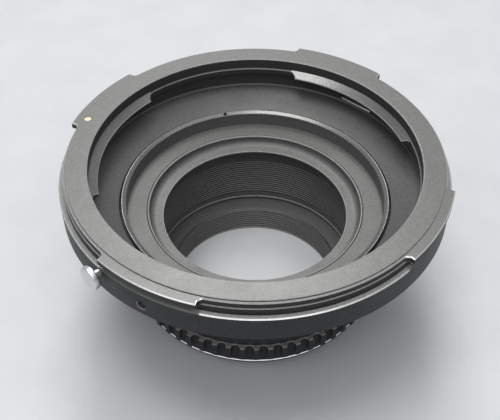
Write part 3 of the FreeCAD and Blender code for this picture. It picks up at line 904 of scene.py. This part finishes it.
add_camera()
steel = metal("polished_steel", (0.56, 0.56, 0.56), (0.68, 0.68, 0.68), 0.24, 0.34, 900.0)
dark_steel = metal("black_steel", (0.08, 0.08, 0.082), (0.17, 0.17, 0.175), 0.2, 0.35, 1500.0)
grub_steel = metal("grub_steel", (0.34, 0.34, 0.35), (0.48, 0.48, 0.49), 0.16, 0.26, 1500.0)
brass = metal("brass_bush", (0.60, 0.43, 0.18), (0.75, 0.58, 0.30), 0.2, 0.35, 1200.0)
spring = metal("spring_steel", (0.42, 0.42, 0.43), (0.60, 0.60, 0.61), 0.2, 0.35, 1500.0)
# Copies of the black anodising, in the order of the tones. The first is the plain one, and the rubbed,
# smooth and bare ones are real finishes. The darkest and the shaded copies are painted shade. The
# mid-tone copy serves the inner faces and paints light on lit groove flanks. The light and the palest
# copies are painted light on lit faces and bright edge lines. The pale edge copy is wear with a
# painted highlight.
tone_list = [
    anodised("black_anodised", (0.028, 0.029, 0.028), (0.078, 0.080, 0.077), 0.44, 0.52, 0.7),
    anodised("rubbed_anodised", (0.052, 0.054, 0.050), (0.118, 0.121, 0.113), 0.34, 0.42, 1.0),
    anodised("wear_and_highlight_edge", (0.26, 0.265, 0.26), (0.42, 0.425, 0.42), 0.40, 0.50, 0.3),
    anodised("deep_shade_anodised", (0.010, 0.0105, 0.012), (0.030, 0.031, 0.033), 0.46, 0.56, 0.3),
    anodised("smooth_anodised", (0.060, 0.061, 0.060), (0.120, 0.122, 0.119), 0.13, 0.18, 1.0),
    anodised("mid_tone_anodised", (0.062, 0.064, 0.061), (0.130, 0.133, 0.128), 0.46, 0.56, 0.8),
    anodised("painted_light_anodised", (0.195, 0.197, 0.193), (0.335, 0.338, 0.332), 0.46, 0.54, 0.25),
    metal("bare_edge", (0.56, 0.56, 0.55), (0.74, 0.74, 0.73), 0.30, 0.42, GRAIN_SCALE),
    anodised("shaded_anodised", (0.026, 0.0265, 0.027), (0.058, 0.059, 0.060), 0.46, 0.56, 0.4),
    anodised("mild_light_anodised", (0.090, 0.092, 0.089), (0.156, 0.159, 0.154), 0.46, 0.56, 0.6),
]

add_piece("mount_ring", mount_body(), "adapter", tone_list, "lens_mount_body")
add_piece("clamp_ring", clamp_ring(), "adapter", tone_list, "retaining_ring")
add_piece("grooved_tube", tube(), "adapter", tone_list, "inner_sleeve")
add_piece("baffle_ring", baffle(), "adapter", tone_list, "light_baffle")
add_piece("grip_ring", grip_ring(), "adapter", tone_list, "ribbed_ring")
add_piece("camera_plate", camera_plate(), "adapter", tone_list, "camera_bayonet")
add_piece("pull_head", pull_head(), "lens_lock", [steel], "lock_head", smooth=40)
add_piece("enamel_dot", enamel_dot(), "adapter", [enamel()], "index_dot", smooth=40)
coil = add_piece(
    "coil_spring", coil_spring(), "adapter", [spring], "lock_spring", smooth=60)
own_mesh(coil)

for node, material in (
    ("stop_screw", grub_steel),
    ("bayonet_screws", dark_steel),
    ("lock_pin", steel),
    ("lock_bush", brass),
):
    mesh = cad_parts[node].data
    mesh.materials.clear()
    mesh.materials.append(material)


# Floor, light and background

def add_floor():
    mesh = bpy.data.meshes.new("floor")
    corners = [(x * FLOOR_HALF, y * FLOOR_HALF, 0) for x, y in ((-1, -1), (1, -1), (1, 1), (-1, 1))]
    mesh.from_pydata(corners, [], [(0, 1, 2, 3)])
    material, tree, shader = new_material("floor")
    shader.inputs["Roughness"].default_value = 0.7
    cloud = noise(tree, 60.0, 3.0, 0.5)
    tree.links.new(
        ramp(tree, cloud.outputs["Fac"], (0.60, 0.615, 0.64), (0.64, 0.655, 0.68)),
        shader.inputs["Base Color"])
    mesh.materials.append(material)
    floor = add_object("floor", mesh)


def add_panel(name, azimuth, elevation, distance, width, height, radiance, colour):
    """Soft light panel that faces the object."""
    data = bpy.data.lights.new(name, "AREA")
    data.shape = "RECTANGLE"
    data.size = width
    data.size_y = height
    data.energy = radiance * math.pi * width * height
    data.color = colour
    lamp = bpy.data.objects.new(name, data)
    bpy.context.scene.collection.objects.link(lamp)
    a = math.radians(azimuth)
    e = math.radians(elevation)
    way = Vector((math.cos(e) * math.cos(a), math.cos(e) * math.sin(a), math.sin(e)))
    lamp.location = way * distance
    lamp.rotation_euler = way.to_track_quat("Z", "Y").to_euler()


def add_world():
    """Dim light from all round, behind which the eye and reflections see a pale backdrop."""
    world = bpy.data.worlds.new("studio")
    bpy.context.scene.world = world
    world.use_nodes = True
    tree = world.node_tree
    dim = tree.nodes["Background"]
    dim.inputs["Color"].default_value = (0.92, 0.96, 1.0, 1)
    dim.inputs["Strength"].default_value = 0.1
    pale = add_node(tree, "ShaderNodeBackground", Color=(0.78, 0.80, 0.83, 1), Strength=0.75)
    path = tree.nodes.new("ShaderNodeLightPath")
    seen = tree.nodes.new("ShaderNodeMath")
    seen.operation = "MAXIMUM"
    also = tree.nodes.new("ShaderNodeMath")
    also.operation = "MAXIMUM"
    mix = tree.nodes.new("ShaderNodeMixShader")
    tree.links.new(path.outputs["Is Camera Ray"], seen.inputs[0])
    tree.links.new(path.outputs["Is Glossy Ray"], seen.inputs[1])
    tree.links.new(seen.outputs["Value"], also.inputs[0])
    tree.links.new(path.outputs["Is Transmission Ray"], also.inputs[1])
    tree.links.new(also.outputs["Value"], mix.inputs["Fac"])
    tree.links.new(dim.outputs["Background"], mix.inputs[1])
    tree.links.new(pale.outputs["Background"], mix.inputs[2])
    tree.links.new(mix.outputs["Shader"], tree.nodes["World Output"].inputs["Surface"])


add_floor()
add_panel("top_panel", 270, 80, 1.0, 1.2, 1.2, 1.0, (1.0, 1.0, 0.99))
add_panel("zenith_panel", 190, 82, 1.0, 0.40, 0.40, 6.0, (1.0, 0.99, 0.97))
add_panel("key_panel", 94, 57, 1.05, 0.34, 0.56, 7.8, (1.0, 0.99, 0.97))
add_panel("front_panel", 258, 50, 1.1, 2.0, 0.5, 1.2, (1.0, 1.0, 1.0))
add_world()
bpy.context.scene.view_settings.view_transform = "Standard"
